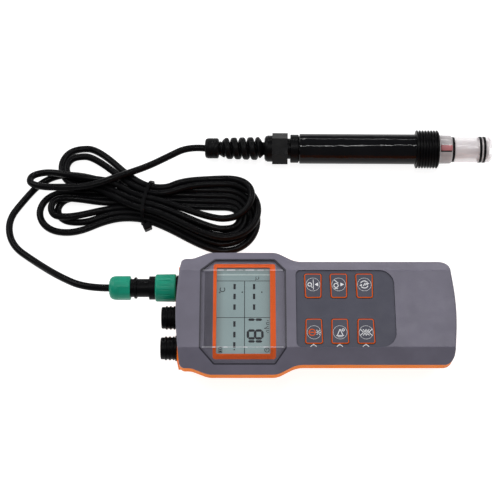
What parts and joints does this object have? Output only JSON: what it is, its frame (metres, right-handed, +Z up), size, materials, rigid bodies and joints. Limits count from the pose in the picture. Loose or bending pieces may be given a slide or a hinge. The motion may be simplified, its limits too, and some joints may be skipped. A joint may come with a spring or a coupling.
{
  "type": "water quality probe",
  "caption": "Handheld water quality meter with sensor ports, joined by a coiled cable to a dissolved-oxygen probe.",
  "frame": {"origin": "on the table, under the middle of the box round the meter and the probe", "axes": "+X from the sensor ports to the meter's foot, along the probe; +Y from the meter to the probe; +Z up"},
  "size_m": [0.3209, 0.174, 0.0434],
  "materials": {
    "case_grey": "fine matte moulding",
    "case_orange": "fine matte moulding",
    "frame_orange": "satin",
    "overlay_slate": "matte film",
    "black_plastic": "satin",
    "black_gloss": "glossy",
    "green_plastic": "satin",
    "rubber": "soft",
    "cable_black": "satin jacket",
    "clear": "clear",
    "lcd": "reflective display",
    "white_plastic": "matte",
    "board_green": "solder mask",
    "steel": "plated",
    "chrome": "bright",
    "gold": "bright",
    "silver": "satin",
    "cell_blue": "printed sleeve"
  },
  "bodies": {
    "meter_and_probe": {"anode_sleeve": "silver", "battery_cells": "cell_blue", "battery_contacts": "steel", "battery_door": "case_orange", "battery_springs": "steel", "board_chips": "black_plastic", "board_screws": "steel", "buzzer": "black_plastic", "cable_ends": "cable_black", "cable_hank": "cable_black", "cable_lead_meter": "cable_black", "cable_lead_probe": "cable_black", "cable_tie": "black_plastic", "case_screws": "steel", "case_seal": "rubber", "cathode_tip": "gold", "connector_strips": "rubber", "display_frame": "frame_orange", "door_gasket": "rubber", "door_screws": "steel", "electrode_stem": "white_plastic", "gland_body": "black_plastic", "gland_grommet": "rubber", "gland_nut": "black_plastic", "keypad_overlay": "overlay_slate", "lcd_backlight": "white_plastic", "lcd_glass": "lcd", "lcd_lens": "clear", "lens_gasket": "rubber", "lower_shell": "case_orange", "main_board": "board_green", "neck_sleeve": "chrome", "plug_body": "black_plastic", "plug_grommet": "rubber", "plug_insert": "black_plastic", "plug_nut": "green_plastic", "plug_pins": "gold", "port_contacts": "gold", "port_inserts": "black_plastic", "port_nuts": "steel", "port_seals": "rubber", "probe_barrel": "black_gloss", "sensor_port_1": "black_plastic", "sensor_port_2": "black_plastic", "sensor_port_3": "black_plastic", "snap_domes": "steel", "strain_relief": "rubber", "thread_collar": "black_plastic", "upper_shell": "case_grey"},
    "key_upper_1_body": {"key_upper_1": "frame_orange"},
    "key_upper_2_body": {"key_upper_2": "frame_orange"},
    "key_upper_3_body": {"key_upper_3": "frame_orange"},
    "key_lower_1_body": {"key_lower_1": "frame_orange"},
    "key_lower_2_body": {"key_lower_2": "frame_orange"},
    "key_lower_3_body": {"key_lower_3": "frame_orange"},
    "coupling_ring_body": {"coupling_ring": "green_plastic"},
    "cap_thread": {"neck_oring": "rubber"},
    "cap": {"membrane_cap": "clear", "cap_orings": "rubber", "membrane": "white_plastic"}
  },
  "joints": [
    {"name": "key_upper_1_press", "type": "slide", "parent": "meter_and_probe", "child": "key_upper_1_body", "axis": [0, 0, -1], "range_m": [0, 0.0006], "stiffness_N_per_m": 800, "springref_m": -0.0004},
    {"name": "key_upper_2_press", "type": "slide", "parent": "meter_and_probe", "child": "key_upper_2_body", "axis": [0, 0, -1], "range_m": [0, 0.0006], "stiffness_N_per_m": 800, "springref_m": -0.0004},
    {"name": "key_upper_3_press", "type": "slide", "parent": "meter_and_probe", "child": "key_upper_3_body", "axis": [0, 0, -1], "range_m": [0, 0.0006], "stiffness_N_per_m": 800, "springref_m": -0.0004},
    {"name": "key_lower_1_press", "type": "slide", "parent": "meter_and_probe", "child": "key_lower_1_body", "axis": [0, 0, -1], "range_m": [0, 0.0006], "stiffness_N_per_m": 800, "springref_m": -0.0004},
    {"name": "key_lower_2_press", "type": "slide", "parent": "meter_and_probe", "child": "key_lower_2_body", "axis": [0, 0, -1], "range_m": [0, 0.0006], "stiffness_N_per_m": 800, "springref_m": -0.0004},
    {"name": "key_lower_3_press", "type": "slide", "parent": "meter_and_probe", "child": "key_lower_3_body", "axis": [0, 0, -1], "range_m": [0, 0.0006], "stiffness_N_per_m": 800, "springref_m": -0.0004},
    {"name": "coupling_ring_turn", "type": "hinge", "parent": "meter_and_probe", "child": "coupling_ring_body", "pos_m": [-0.10526, -0.02829, 0.0249], "axis": [1, 0, 0], "continuous": true},
    {"name": "cap_advance", "type": "slide", "parent": "meter_and_probe", "child": "cap_thread", "axis": [0.9995, -0.0183, 0.0243], "range_m": [0, 0.006]},
    {"name": "cap_turn", "type": "hinge", "parent": "cap_thread", "child": "cap", "pos_m": [0.09466, 0.07376, 0.01352], "axis": [0.9995, -0.0183, 0.0243], "range_deg": [0, 1440]}
  ],
  "couplings": [
    {"joint": "cap_turn", "follows": "cap_advance", "rad_per_m": 4188.8}
  ]
}
